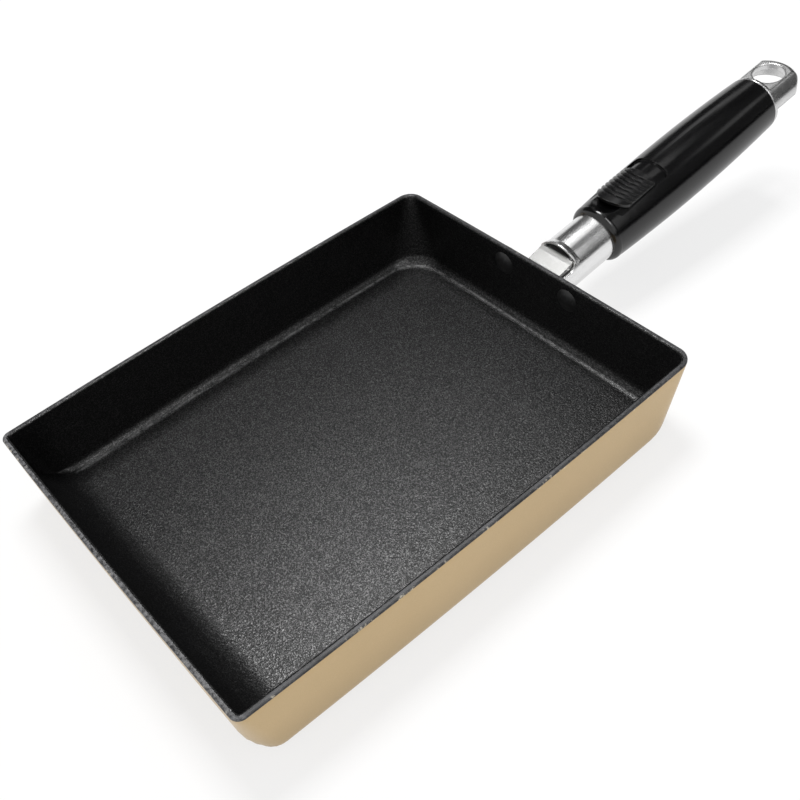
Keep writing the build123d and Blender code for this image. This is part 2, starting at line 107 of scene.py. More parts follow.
class PanBodySettings(bpy.types.PropertyGroup):
    """Sizes and colours of the coated pan body."""

    long_bow: length("Long bow", "How far each long side bows out", 1.3 * MM)
    short_bow: length("Short bow", "How far each short side bows out", 0.6 * MM)
    sheet: length("Sheet", "Thickness of the pan's wall", 2.2 * MM)
    rim_corner: length("Rim corner", "Corner radius at the rim by the handle", 6.2 * MM)
    floor_corner: length("Floor corner", "Corner radius at the floor by the handle", 20.0 * MM)
    nose_rim_corner: length("Nose rim corner", "Corner radius at the rim by the nose", 3.2 * MM)
    nose_floor_corner: length(
        "Nose floor corner", "Corner radius at the floor by the nose", 10.5 * MM,
    )
    side_bend: length("Side bend", "Outer radius between floor and walls", 6.5 * MM)
    nose_bend: length("Nose bend", "Outer radius along the turning edge", 21.5 * MM)
    rim_round: length("Rim rounding", "Radius of the rim's two edges", 0.7 * MM)
    draft: angle("Draft", "Lean of the long walls and the handle's wall", 2.0)
    nose_draft: angle("Nose draft", "Lean of the nose's wall", 5.0)
    coat: colour("Coat", "Non-stick coat inside", (0.0030, 0.0030, 0.0031))
    flake: colour("Flake", "Flakes and specks in the coat", (0.17, 0.17, 0.175))
    # Painted highlight: colour and strength of the pale line along the foot of the walls, where the
    # inner bend would catch the light
    crease_highlight: colour("Crease highlight", "Painted highlight along the foot of the walls", (0.26, 0.26, 0.26))
    crease_highlight_strength: share("Crease wear", "Strength of the line at the foot of the walls", 0.75)
    rim_coat: colour("Rim coat", "Coat on the rim", (0.012, 0.012, 0.013))
    rim_rubbed: colour("Rubbed rim", "Rubbed patches on the rim", (0.075, 0.075, 0.080))
    rim_nose: colour("Nose rim", "Thinner coat on the rim of the nose", (0.15, 0.15, 0.155))
    speck: colour("Rim specks", "Small bare specks on the rim", (0.45, 0.43, 0.38))
    bare_edge: colour("Bare edge", "Bare patches on the rim's outer edge", (0.62, 0.56, 0.44))
    enamel: colour("Enamel", "Satin gold enamel outside", (0.555, 0.392, 0.184))
    chip: colour("Chips", "Chips in the enamel under the rim", (0.80, 0.74, 0.58))


class HandleSettings(bpy.types.PropertyGroup):
    """Colours and edges of the handle's pieces."""

    steel: colour("Steel", "Polished tube", (0.80, 0.80, 0.80))
    bracket: colour("Bracket", "Satin bracket", (0.27, 0.27, 0.265))
    rivet: colour("Rivets", "Bare rivet heads", (0.55, 0.55, 0.55))
    cap: colour("Cap", "Plated end cap", (0.66, 0.66, 0.66))
    grip: colour("Grip", "Gloss black grip", (0.0015, 0.0015, 0.0017))
    slide: colour("Slide", "Semi-matt thumb slide", (0.0045, 0.0045, 0.0048))
    inner_steel: colour("Inner steel", "Pins, bar, jaw and screw", (0.52, 0.52, 0.53))
    wire: colour("Spring wire", "Return spring", (0.42, 0.42, 0.44))
    nylon: colour("Nylon", "Spring seat and tube plug", (0.03, 0.03, 0.032))
    edge_round: length("Edge rounding", "Radius that edges catch the light with", 0.25 * MM)
    wire_round: length("Wire rounding", "Radius that the wire's ends catch it with", 0.05 * MM)


class StageSettings(bpy.types.PropertyGroup):
    """Camera, floor, cards and lights."""

    place: FloatVectorProperty(
        name="Camera", description="Where the camera stands", size=3, precision=5,
        default=(-0.12635, -0.21816, 0.28917), unit="LENGTH", subtype="TRANSLATION",
    )
    azimuth: angle("Azimuth", "Camera's turn about Z from looking along +Y", -34.537)
    elevation: angle("Elevation", "Camera's height above the horizon", 46.189)
    roll: angle("Roll", "Camera's turn about its own axis", -8.730)
    lens: FloatProperty(name="Lens", description="Focal length", default=46.164, unit="CAMERA")
    floor: colour("Floor", "Pale floor", (0.90, 0.90, 0.905))
    floor_shade: colour("Floor shade", "Faint clouds on the floor", (0.87, 0.87, 0.88))
    floor_glow: share("Floor glow", "How far the seen floor is lifted to white", 0.74)
    even_light: share("Even light", "Strength of the world's light on surfaces", 0.55)
    strip_card: colour("Bright cards", "Cards that the metal and the slide mirror", (1.0, 1.0, 1.0))
    back_card: colour("Dark cards", "Cards behind the pan and the handle", (0.05, 0.05, 0.05))
    front_card: colour("Front card", "Grey card over the camera's right", (0.10, 0.10, 0.10))
    low_card: colour("Low card", "Dark card low on the camera's right", (0.01, 0.01, 0.01))
    key_power: power("Key power", "Soft light high behind the pan", 11.0)
    fill_power: power("Fill power", "Soft light on the camera's side", 2.5)


# Materials

# The mix node's colour sockets, whose names its other kinds share
MIX_AMOUNT, MIX_FIRST, MIX_SECOND, MIX_RESULT = 0, 6, 7, 2


class Finish:
    """One procedural material, put together node by node."""

    def __init__(self, name, **constants):
        self.material = bpy.data.materials.new(name)
        self.material.use_nodes = True
        self.tree = self.material.node_tree
        self.shader = self.tree.nodes["Principled BSDF"]
        self.output = self.tree.nodes["Material Output"]
        for socket, value in constants.items():
            self.shader.inputs[socket.replace("_", " ")].default_value = value
        self.place = self.node("ShaderNodeTexCoord").outputs["Object"]

    def node(self, kind, inputs=None, **settings):
        """Adds a node, with its settings and its inputs' values or links."""
        made = self.tree.nodes.new(kind)
        for key, value in settings.items():
            setattr(made, key, value)
        for key, value in (inputs or {}).items():
            if isinstance(value, bpy.types.NodeSocket):
                self.tree.links.new(value, made.inputs[key])
            else:
                made.inputs[key].default_value = value
        return made

    def drive(self, socket, value):
        """Links a value to one of the shader's sockets."""
        self.tree.links.new(value, self.shader.inputs[socket])

    def show(self, shader):
        """Makes another shader the one that the surface shows."""
        self.tree.links.new(shader.outputs[0], self.output.inputs["Surface"])

    def stretch(self, scale):
        """The object's own place, scaled along each axis."""
        made = self.node("ShaderNodeMapping", {"Vector": self.place, "Scale": scale})
        return made.outputs["Vector"]

    def noise(self, scale, detail=2.0, roughness=0.5, place=None):
        """Fine variation, from 0 to 1, at so many features to a metre."""
        fineness = {"Scale": scale, "Detail": detail, "Roughness": roughness}
        made = self.node("ShaderNodeTexNoise", {"Vector": place or self.place, **fineness})
        return made.outputs["Fac"]

    def cells(self, scale):
        """Small cells, so many to a metre, each with a shade of its own."""
        made = self.node("ShaderNodeTexVoronoi", {"Vector": self.place, "Scale": scale})
        return made.outputs["Color"]

    def spread(self, value, low, high, to_low=0.0, to_high=1.0):
        """Moves a value from one range to another, and holds it there."""
        limits = {"From Min": low, "From Max": high, "To Min": to_low, "To Max": to_high}
        return self.node("ShaderNodeMapRange", {"Value": value, **limits}).outputs["Result"]

    def combine(self, operation, first, second):
        """One step of arithmetic."""
        made = self.node("ShaderNodeMath", {0: first, 1: second}, operation=operation)
        return made.outputs["Value"]

    def plus(self, first, second):
        """The sum of two values."""
        return self.combine("ADD", first, second)

    def times(self, first, second):
        """The product of two values."""
        return self.combine("MULTIPLY", first, second)

    def mix(self, amount, first, second):
        """A colour between two colours."""
        inputs = {MIX_AMOUNT: amount}
        for key, value in ((MIX_FIRST, first), (MIX_SECOND, second)):
            inputs[key] = value if isinstance(value, bpy.types.NodeSocket) else (*value, 1.0)
        return self.node("ShaderNodeMix", inputs, data_type="RGBA").outputs[MIX_RESULT]

    def axis(self, name):
        """One coordinate of the place, in metres."""
        return self.node("ShaderNodeSeparateXYZ", {"Vector": self.place}).outputs[name]

    def attribute(self, name):
        """A value that the mesh carries at its points."""
        return self.node("ShaderNodeAttribute", attribute_name=name).outputs["Fac"]

    def soften(self, radius):
        """Rounds the light on the edges by a radius."""
        return self.node("ShaderNodeBevel", {"Radius": radius}, samples=6).outputs["Normal"]

    def bump(self, height, strength, distance, normal=None):
        """Sends a relief to the shader's normal."""
        inputs = {"Height": height, "Strength": strength, "Distance": distance}
        if normal is not None:
            inputs["Normal"] = normal
        self.drive("Normal", self.node("ShaderNodeBump", inputs).outputs["Normal"])


def scaled(tint, factor):
    """A colour with each channel made darker or lighter alike."""
    return tuple(channel * factor for channel in tint)


def coat_finish(body):
    """Dark non-stick coat with fine bright flakes, shown mostly on the floor as a painted
    lightening against the walls, and a painted highlight line at the crease.
    """
    made = Finish("pan_coat")
    grain = made.noise(1350.0, detail=2.0, roughness=0.6)
    patch = made.noise(22.0, detail=3.0, roughness=0.6)
    shade = made.plus(made.times(made.cells(3100.0), 0.75), made.times(grain, 0.25))
    sparkle = made.combine("POWER", made.spread(shade, 0.28, 0.90), 2.4)
    # Painted light: the flakes are real, but they show fully only on the floor and fade to a tenth
    # up the walls, which paints the floor lighter than the walls
    floor_light_share = made.spread(made.axis("Z"), 2.4 * MM, 4.2 * MM, to_low=1.0, to_high=0.10)
    flaked = made.times(made.times(sparkle, floor_light_share), 0.10)
    base = made.mix(flaked, body.coat, body.flake)
    base = made.mix(made.spread(patch, 0.40, 0.75, to_high=0.015), base, body.flake)
    made.drive("Specular IOR Level", made.spread(sparkle, 0.0, 0.6, to_low=0.20, to_high=0.95))
    fringe = made.noise(420.0, detail=4.0, roughness=0.7)
    ragged = made.plus(fringe, made.times(made.noise(60.0), 0.5))
    # Painted highlight: a pale ragged line on the inner bend at the foot of the walls
    crease_highlight = made.times(made.attribute("crease"), made.spread(ragged, 0.62, 0.95))
    base = made.mix(made.times(crease_highlight, body.crease_highlight_strength), base, body.crease_highlight)
    made.drive("Base Color", base)
    tone = made.plus(patch, shade)
    made.drive("Roughness", made.spread(tone, 0.4, 1.6, to_low=0.34, to_high=0.28))
    relief = made.plus(grain, made.times(shade, 0.22))
    made.bump(relief, strength=0.8, distance=0.15 * MM)
    return made.material


def rim_finish(body):
    """The rim: coat worn thin at the nose and along its outer edge, with bare specks."""
    made = Finish("rim_coat", Specular_IOR_Level=0.45)
    mottle = made.noise(900.0, detail=4.0, roughness=0.65)
    long_mottle = made.noise(110.0, detail=3.0, roughness=0.6)
    tone = made.plus(mottle, made.times(long_mottle, 0.8))
    base = made.mix(made.spread(tone, 0.75, 1.15), body.rim_coat, body.rim_rubbed)
    nose = made.spread(made.axis("X"), PAN_LOW.x + 4.5 * MM, PAN_LOW.x + 3.2 * MM)
    thin = made.times(nose, made.spread(mottle, 0.42, 0.60))
    base = made.mix(thin, base, body.rim_nose)
    specks = made.spread(made.cells(900.0), 0.93, 0.97)
    base = made.mix(made.times(specks, 0.5), base, body.speck)
    bare = made.times(made.attribute("outer_edge"), made.spread(tone, 1.04, 1.14))
    base = made.mix(bare, base, body.bare_edge)
    made.drive("Base Color", base)
    made.drive("Roughness", made.spread(mottle, 0.3, 0.7, to_low=0.36, to_high=0.6))
    made.bump(tone, strength=0.6, distance=0.15 * MM)
    return made.material


def enamel_finish(body):
    """Satin gold enamel, with fine metal flake, a soft orange peel, painted shade towards the
    bottom and chips at the rim.
    """
    made = Finish("gold_enamel", Metallic=0.35, Coat_Weight=0.25, Coat_Roughness=0.28)
    flake = made.noise(2600.0)
    cloud = made.noise(16.0, detail=3.0, roughness=0.55)
    shade = scaled(body.enamel, 0.80)
    base = made.mix(made.spread(cloud, 0.3, 0.7, to_high=0.35), body.enamel, shade)
    base = made.mix(made.spread(flake, 0.35, 0.65, to_high=0.22), base, shade)
    # Painted shade: the enamel grows darker over the lowest 20 mm of the outer wall
    low = made.spread(made.axis("Z"), 1.0 * MM, 20.0 * MM, to_low=0.55, to_high=0.0)
    base = made.mix(low, base, scaled(body.enamel, 0.72))
    rim_band = made.spread(made.axis("Z"), PAN_HIGH.z - 1.6 * MM, PAN_HIGH.z - 0.3 * MM)
    chips = made.spread(made.noise(330.0, detail=3.0, roughness=0.7), 0.60, 0.66)
    base = made.mix(made.times(rim_band, chips), base, body.chip)
    made.drive("Base Color", base)
    tone = made.plus(cloud, flake)
    made.drive("Roughness", made.spread(tone, 0.6, 1.4, to_low=0.34, to_high=0.48))
    peel = made.plus(made.noise(420.0), made.times(flake, 0.3))
    made.bump(peel, strength=0.18, distance=0.06 * MM)
    return made.material


def steel_finish(name, tint, radius, rough, along=(1.0, 1.0, 1.0), scratches=0.25):
    """Bright metal with fine lines along one way, smudges and softened edges."""
    made = Finish(name, Metallic=1.0)
    lines = made.noise(900.0, detail=4.0, roughness=0.7, place=made.stretch(along))
    smudge = made.noise(45.0, detail=4.0, roughness=0.6)
    shade = scaled(tint, 0.80)
    base = made.mix(made.spread(lines, 0.35, 0.75, to_high=0.55), tint, shade)
    base = made.mix(made.spread(smudge, 0.45, 0.75, to_high=0.35), base, shade)
    made.drive("Base Color", base)
    tone = made.plus(made.times(lines, 0.6), made.times(smudge, 0.4))
    made.drive("Roughness", made.spread(tone, 0.3, 0.7, to_low=rough * 0.7, to_high=rough * 1.4))
    made.bump(lines, scratches, distance=0.03 * MM, normal=made.soften(radius))
    return made.material


def plastic_finish(name, tint, radius, rough, grain, depth):
    """Moulded plastic with a fine grain, faint handling marks and softened edges."""
    made = Finish(name)
    fine = made.noise(grain, detail=3.0, roughness=0.6)
    marks = made.noise(60.0, detail=5.0, roughness=0.7, place=made.stretch((0.4, 2.0, 2.0)))
    made.drive("Base Color", made.mix(made.spread(marks, 0.45, 0.8), tint, scaled(tint, 1.8)))
    tone = made.plus(made.times(fine, 0.4), made.times(marks, 0.6))
    made.drive("Roughness", made.spread(tone, 0.3, 0.75, to_low=rough * 0.75, to_high=rough * 1.5))
    made.bump(fine, depth, distance=0.03 * MM, normal=made.soften(radius))
    return made.material


def rivet_finish(body, handle):
    """Coated heads inside the pan, bare heads on the bracket."""
    made = Finish("rivet_heads")
    outside = made.spread(made.axis("X"), PAN_HIGH.x - 1.6 * MM, PAN_HIGH.x - 1.4 * MM)
    grain = made.noise(1500.0, detail=3.0, roughness=0.6)
    coat = made.mix(made.spread(grain, 0.52, 0.75, to_high=0.2), body.coat, body.flake)
    bare = made.mix(made.spread(grain, 0.3, 0.7), handle.bracket, handle.rivet)
    made.drive("Base Color", made.mix(outside, coat, bare))
    made.drive("Metallic", outside)
    made.drive("Roughness", made.spread(grain, 0.3, 0.7, to_low=0.32, to_high=0.5))
    made.bump(grain, strength=0.3, distance=0.05 * MM, normal=made.soften(handle.edge_round))
    return made.material


def wear(node, material):
    """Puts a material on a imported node's own slot."""
    target = NODES[node]
    if not target.material_slots:
        target.data.materials.append(material)
    target.material_slots[0].material = material


# Pan body

# Steps of the mesh round a corner, along the sides, up a wall, round the bends and over the rim
CORNER_STEPS = 12
SHORT_STEPS, LONG_STEPS = 36, 48
WALL_STEPS = 8
OUTER_BEND_STEPS, INNER_BEND_STEPS = 12, 18
RIM_STEPS, TOP_STEPS = 4, 3
# How far the rows of the underside and of the floor lie in from the outer wall
UNDER_ROWS = [inset * MM for inset in (60, 44, 32, 24, 19.5, 18, 16.5, 15, 13.5, 12, 10.5)]
FLOOR_ROWS = [inset * MM for inset in (10, 11.5, 13, 14.5, 16, 17.5, 19.2, 24, 32, 44, 60)]
LEAST_CORNER = 0.8 * MM
# The painted highlight line's turn on the inner bend, its spread there, and where it ends by the
# nose
CREASE_TURN, CREASE_SPREAD = 24.0, 5.5
CREASE_END = -79.5 * MM
# How far down the worn outer edge reaches, in roundings of the rim
EDGE_REACH = 1.1
SURFACES = ("coat", "rim", "enamel")


class Row(NamedTuple):
    """One ring of the pan: its place, its surface, its painted crease highlight and the wall
    outside it.
    """

    inset: float
    height: float
    surface: str
    crease: float = 0.0
    skin: float = 0.0


def parts(steps):
    """Even shares of a run, from the first step to the whole."""
    return [step / steps for step in range(1, steps + 1)]


def wall_lean(height, draft):
    """How far a drafted wall has come in from the rim at one height."""
    return (PAN_HIGH.z - height) * math.tan(draft)


def corner_arcs(body, inset, height):
    """The four rounded corners at one height, sharper at the nose."""
    back = PAN_HIGH.x - body.short_bow - wall_lean(height, body.draft) - inset
    nose = PAN_LOW.x + body.short_bow + wall_lean(height, body.nose_draft) + inset
    half = PAN_HIGH.y - body.long_bow - wall_lean(height, body.draft) - inset
    drop = 1.0 - height / PAN_HIGH.z
    back_corner = body.rim_corner + (body.floor_corner - body.rim_corner) * drop
    nose_corner = body.nose_rim_corner + (body.nose_floor_corner - body.nose_rim_corner) * drop
    arcs = []
    for quarter, (sign_x, sign_y) in enumerate(((1, -1), (1, 1), (-1, 1), (-1, -1))):
        corner = max((back_corner if sign_x > 0 else nose_corner) - inset, LEAST_CORNER)
        edge = back if sign_x > 0 else nose
        centre = Vector((edge - sign_x * corner, sign_y * (half - corner)))
        turns = [math.pi / 2 * (quarter - 1 + part) for part in (0.0, *parts(CORNER_STEPS))]
        arcs.append([centre + corner * Vector((math.cos(turn), math.sin(turn))) for turn in turns])
    return arcs, back, nose, half


def ring(body, inset, height):
    """Points round the pan at one height and one distance in from its outer wall."""
    arcs, back, nose, half = corner_arcs(body, inset, height)
    points = []
    for quarter, arc in enumerate(arcs):
        run = SHORT_STEPS if quarter % 2 == 0 else LONG_STEPS
        ahead = arcs[(quarter + 1) % len(arcs)][0]
        points += arc + [arc[-1].lerp(ahead, step / run) for step in range(1, run)]
    middle, reach = (back + nose) / 2, (back - nose) / 2
    bowed = []
    for point in points:
        along = (point.x - middle) / reach
        out_x = body.short_bow * (1.0 - (point.y / half) ** 2) * along
        out_y = body.long_bow * (1.0 - along**2) * point.y / half
        bowed.append(Vector((point.x + out_x, point.y + out_y, height)))
    return bowed


def over_nose(body, point, skin):
    """Lifts a point onto the large bend along the turning edge."""
    radius = body.nose_bend - skin
    wall = PAN_LOW.x + wall_lean(body.nose_bend, body.nose_draft) + skin
    centre = wall + radius / math.cos(body.nose_draft)
    top = body.nose_bend - radius * math.sin(body.nose_draft)
    reach = centre - point.x
    if reach <= 0.0 or point.z > top:
        return point
    lift = body.nose_bend - math.sqrt(max(radius**2 - min(reach, radius) ** 2, 0.0))
    return Vector((point.x, point.y, max(point.z, min(lift, top))))


def pan_profile(body):
    """Rows from the underside's middle, over the rim, to the floor's middle."""
    top, sheet, edge = PAN_HIGH.z, body.sheet, body.rim_round
    side, inner = body.side_bend, body.side_bend - body.sheet
    wall = top - edge - side
    rows = [Row(inset, 0.0, "enamel") for inset in UNDER_ROWS]
    for part in (0.0, *parts(OUTER_BEND_STEPS)):
        turn = math.pi / 2 * part
        rows.append(Row(side * (1 - math.sin(turn)), side * (1 - math.cos(turn)), "enamel"))
    rows += [Row(0.0, side + wall * part, "enamel") for part in parts(WALL_STEPS)]
    for part in parts(RIM_STEPS):
        turn = math.pi / 2 * part
        rows.append(Row(edge * (1 - math.cos(turn)), top - edge * (1 - math.sin(turn)), "rim"))
    rows += [Row(edge + (sheet - 2 * edge) * part, top, "rim") for part in parts(TOP_STEPS)]
    for part in parts(RIM_STEPS):
        turn = math.pi / 2 * part
        inset, height = sheet - edge * (1 - math.sin(turn)), top - edge * (1 - math.cos(turn))
        rows.append(Row(inset, height, "coat", skin=sheet))
    for part in parts(WALL_STEPS):
        rows.append(Row(sheet, top - edge - wall * part, "coat", skin=sheet))
    for part in parts(INNER_BEND_STEPS):
        turn = math.pi / 2 * (1 - part)
        inset, height = sheet + inner * (1 - math.sin(turn)), sheet + inner * (1 - math.cos(turn))
        # Painted highlight: how strongly this row of the inner bend carries the pale line
        crease = math.exp(-(((math.degrees(turn) - CREASE_TURN) / CREASE_SPREAD) ** 2))
        rows.append(Row(inset, height, "coat", crease, sheet))
    rows += [Row(inset, sheet, "coat", skin=sheet) for inset in FLOOR_ROWS]
    return rows


def build_pan(body):
    """One closed mesh of the pan, with a material for each of its surfaces."""
    mesh = bmesh.new()
    crease_layer = mesh.verts.layers.float.new("crease")
    edge_layer = mesh.verts.layers.float.new("outer_edge")
    rows = pan_profile(body)
    loops = []
    for row in rows:
        on_rim = row.height > PAN_HIGH.z - body.rim_round * EDGE_REACH
        worn_edge = max(0.0, 1.0 - row.inset / body.rim_round) if on_rim else 0.0
        loop = []
        for point in ring(body, row.inset, row.height):
            lifted = over_nose(body, point, row.skin)
            vert = mesh.verts.new(lifted)
            at_foot = point.x > CREASE_END and lifted.z < row.height + TOUCH
            vert[crease_layer] = row.crease if at_foot else 0.0
            vert[edge_layer] = worn_edge
            loop.append(vert)
        loops.append(loop)
    for row, loop, ahead in zip(rows[1:], loops, loops[1:]):
        for place, vert in enumerate(loop):
            after = (place + 1) % len(loop)
            face = mesh.faces.new((vert, loop[after], ahead[after], ahead[place]))
            face.material_index = SURFACES.index(row.surface)
            face.smooth = True
    under = mesh.faces.new(tuple(reversed(loops[0])))
    under.material_index = SURFACES.index("enamel")
    floor = mesh.faces.new(tuple(loops[-1]))
    floor.material_index = SURFACES.index("coat")
    bmesh.ops.remove_doubles(mesh, verts=mesh.verts, dist=TOUCH)
    bmesh.ops.recalc_face_normals(mesh, faces=mesh.faces)
    data = bpy.data.meshes.new("coated_pan")
    mesh.to_mesh(data)
    mesh.free()
    return data


class OMELETTE_OT_pan_body(bpy.types.Operator):
    """Build the coated pan body with its rim and gold outside"""

    bl_idname = "omelette.pan_body"
    bl_label = "Pan body"

    def execute(self, context):
        body = context.scene.omelette_body
        data = build_pan(body)
        for material in (coat_finish(body), rim_finish(body), enamel_finish(body)):
            data.materials.append(material)
        pan = bpy.data.objects.new("coated_pan", data)
        context.scene.collection.objects.link(pan)
        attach(pan, "pan")
        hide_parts("pan_body")
        return {"FINISHED"}


# Bracket and handle


class OMELETTE_OT_bracket(bpy.types.Operator):
    """Finish the riveted bracket that the handle clamps onto"""

    bl_idname = "omelette.bracket"
    bl_label = "Bracket and rivets"

    def execute(self, context):
        body, handle = context.scene.omelette_body, context.scene.omelette_handle
        satin = steel_finish(
            "bracket_satin", handle.bracket, handle.edge_round, rough=0.36, along=(1.0, 6.0, 1.0),
        )
        wear("bracket", satin)
        wear("bracket_rivets", rivet_finish(body, handle))
        return {"FINISHED"}


class OMELETTE_OT_tube(bpy.types.Operator):
    """Finish the polished handle tube"""

    bl_idname = "omelette.tube"
    bl_label = "Handle tube"

    def execute(self, context):
        handle = context.scene.omelette_handle
        polish = steel_finish(
            "tube_polish", handle.steel, handle.edge_round, rough=0.24, along=(0.3, 3.0, 3.0),
            scratches=0.16,
        )
        wear("handle_tube", polish)
        return {"FINISHED"}


class OMELETTE_OT_grip(bpy.types.Operator):
    """Finish the gloss black grip"""

    bl_idname = "omelette.grip"
    bl_label = "Grip"

    def execute(self, context):
        handle = context.scene.omelette_handle
        gloss = plastic_finish(
            "grip_gloss", handle.grip, handle.edge_round, rough=0.17, grain=900.0, depth=0.05,
        )
        wear("grip", gloss)
        return {"FINISHED"}


class OMELETTE_OT_cap(bpy.types.Operator):
    """Finish the plated end cap with the hanging hole"""

    bl_idname = "omelette.cap"
    bl_label = "End cap"

    def execute(self, context):
        handle = context.scene.omelette_handle
        plating = steel_finish(
            "cap_plating", handle.cap, 5.0 * handle.edge_round, rough=0.24, along=(0.3, 4.0, 4.0),
            scratches=0.35,
        )
        wear("end_cap", plating)
        return {"FINISHED"}


class OMELETTE_OT_slide(bpy.types.Operator):
    """Finish the ribbed thumb slide"""

    bl_idname = "omelette.slide"
    bl_label = "Thumb slide"

    def execute(self, context):
        handle = context.scene.omelette_handle
        satin = plastic_finish(
            "slide_satin", handle.slide, handle.edge_round, rough=0.20, grain=2400.0, depth=0.2,
        )
        wear("thumb_slide", satin)
        return {"FINISHED"}


def coil_up(wire):
    """Stands a coil in for the return spring, which closes up as the slide is pulled."""
    coil = bpy.data.objects.new("spring_coil", NODES["return_spring"].data.copy())
    coil.data.materials.clear()
    coil.data.materials.append(wire)
    bpy.context.scene.collection.objects.link(coil)
    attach(coil, "handle")
    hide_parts("return_spring")
    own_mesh(coil)


class OMELETTE_OT_clamp(bpy.types.Operator):
    """Finish the clamp and the other pieces inside the tube"""

    bl_idname = "omelette.clamp"
    bl_label = "Pieces inside the tube"

    def execute(self, context):
        handle = context.scene.omelette_handle
        steel = steel_finish(
            "inner_steel", handle.inner_steel, handle.edge_round, rough=0.38, along=(1.0, 4.0, 1.0),
        )
        for node in (
            "lock_bar", "clamp_jaw", "jaw_pin", "cam_pin", "slide_pin",
            "seat_pin", "plug_pin", "tie_screw", "tie_washer",
        ):
            wear(node, steel)
        coil_up(steel_finish("spring_wire", handle.wire, handle.wire_round, rough=0.30))
        nylon = plastic_finish(
            "inner_nylon", handle.nylon, handle.edge_round, rough=0.45, grain=1800.0, depth=0.3,
        )
        for node in ("spring_seat", "tube_plug"):
            wear(node, nylon)
        return {"FINISHED"}


# Stage

FLOOR_REACH = 3.0
FLOOR_DROP = 0.2 * MM


class Card(NamedTuple):
    """A studio card: its size, its direction in degrees, its distance and its strength."""

    name: str
    shade: str
    width: float
    height: float
    azimuth: float
    elevation: float
    distance: float
    strength: float = 1.0


CARDS = (
    Card("strip_card", "strip_card", 0.5, 0.30, 33.0, 36.5, 1.77),
    Card("rib_card", "strip_card", 0.5, 0.9, -85.0, 62.0, 1.7, 6.0),
    Card("top_card", "strip_card", 0.62, 0.30, 4.0, 62.0, 2.0, 1.35),
    Card("cap_card", "strip_card", 0.36, 0.28, -32.0, 37.0, 1.9),
    Card("back_card", "back_card", 6.0, 3.6, 62.0, 45.0, 2.7),
    Card("side_card", "back_card", 3.2, 2.4, -4.0, 32.0, 2.5),
    Card("front_card", "front_card", 3.2, 3.6, -54.0, 50.0, 2.2),
    Card("low_card", "low_card", 4.4, 0.44, -75.0, 6.5, 2.2),
)


def toward(azimuth, elevation, distance):
    """A place in one direction from the pan, with the azimuth turned from +X to +Y."""
    azimuth, elevation = math.radians(azimuth), math.radians(elevation)
    flat = math.cos(elevation)
    direction = Vector((flat * math.cos(azimuth), flat * math.sin(azimuth), math.sin(elevation)))
    return distance * direction


def lying_along_x(back):
    """A turn that faces away from a direction and keeps the width along X."""
    back = back.normalized()
    across = (Vector((1.0, 0.0, 0.0)) - back * back.x).normalized()
    return Matrix((across, back.cross(across), back)).transposed().to_quaternion()


def soft_light(name, watts, width, height, place, aim):
    """An area light at one place, turned to another, with its width level."""
    data = bpy.data.lights.new(name, "AREA")
    data.energy = watts
    data.shape = "RECTANGLE"
    data.size = width
    data.size_y = height
    lamp = bpy.data.objects.new(name, data)
    lamp.location = place
    lamp.rotation_mode = "QUATERNION"
    lamp.rotation_quaternion = lying_along_x(Vector(place) - Vector(aim))
    bpy.context.scene.collection.objects.link(lamp)


def flat_piece(name, segments, size, stretch, material):
    """A flat grid of the stage, with its material."""
    mesh = bmesh.new()
    bmesh.ops.create_grid(mesh, x_segments=segments, y_segments=segments, size=size)
    bmesh.ops.scale(mesh, vec=(*stretch, 1.0), verts=mesh.verts)
    data = bpy.data.meshes.new(name)
    mesh.to_mesh(data)
    mesh.free()
    data.materials.append(material)
    piece = bpy.data.objects.new(name, data)
    bpy.context.scene.collection.objects.link(piece)
    return piece


def floor_finish(stage):
    """Pale floor that stays near white in view and keeps the pan's shadow."""
    made = Finish("pale_floor", Roughness=0.85, Specular_IOR_Level=0.2)
    cloud = made.spread(made.noise(3.0), 0.3, 0.7, to_high=0.3)
    made.drive("Base Color", made.mix(cloud, stage.floor, stage.floor_shade))
    path = made.node("ShaderNodeLightPath")
    seen = made.combine("MAXIMUM", path.outputs["Is Camera Ray"], path.outputs["Is Glossy Ray"])
    glow = made.node("ShaderNodeEmission", {"Color": WHITE, "Strength": 1.0})
    lift = made.times(seen, stage.floor_glow)
    shaders = {1: made.shader.outputs[0], 2: glow.outputs[0]}
    made.show(made.node("ShaderNodeMixShader", {0: lift, **shaders}))
    return made.material


def lay_floor(stage):
    """The floor, just under the pan."""
    floor = flat_piece("floor", 8, FLOOR_REACH, (1.0, 1.0), floor_finish(stage))
    floor.location = (0.0, 0.0, -FLOOR_DROP)


def hang_card(card, shade):
    """A studio card that only reflections see, turned to the pan."""
    made = Finish(card.name)
    made.show(made.node("ShaderNodeEmission", {"Color": (*shade, 1.0), "Strength": card.strength}))
    piece = flat_piece(card.name, 2, 0.5, (card.width, card.height), made.material)
    piece.location = toward(card.azimuth, card.elevation, card.distance)
    piece.rotation_mode = "QUATERNION"
    piece.rotation_quaternion = piece.location.to_track_quat("Z", "Y")
    for ray in ("camera", "diffuse", "transmission", "volume_scatter", "shadow"):
        setattr(piece, "visible_" + ray, False)


def make_world(stage):
    """Even studio light, white where the camera or a reflection sees it."""
    world = bpy.data.worlds.new("studio")
    world.use_nodes = True
    tree = world.node_tree
    back = tree.nodes["Background"]
    back.inputs["Color"].default_value = WHITE
    path = tree.nodes.new("ShaderNodeLightPath")
    seen = path.outputs["Is Camera Ray"]
    for output in ("Is Glossy Ray", "Is Transmission Ray"):
        larger = tree.nodes.new("ShaderNodeMath")
        larger.operation = "MAXIMUM"
        tree.links.new(seen, larger.inputs[0])
        tree.links.new(path.outputs[output], larger.inputs[1])
        seen = larger.outputs[0]
    strength = tree.nodes.new("ShaderNodeMapRange")
    strength.inputs["To Min"].default_value = stage.even_light
    strength.inputs["To Max"].default_value = 1.0
    tree.links.new(seen, strength.inputs["Value"])
    tree.links.new(strength.outputs["Result"], back.inputs["Strength"])
    return world


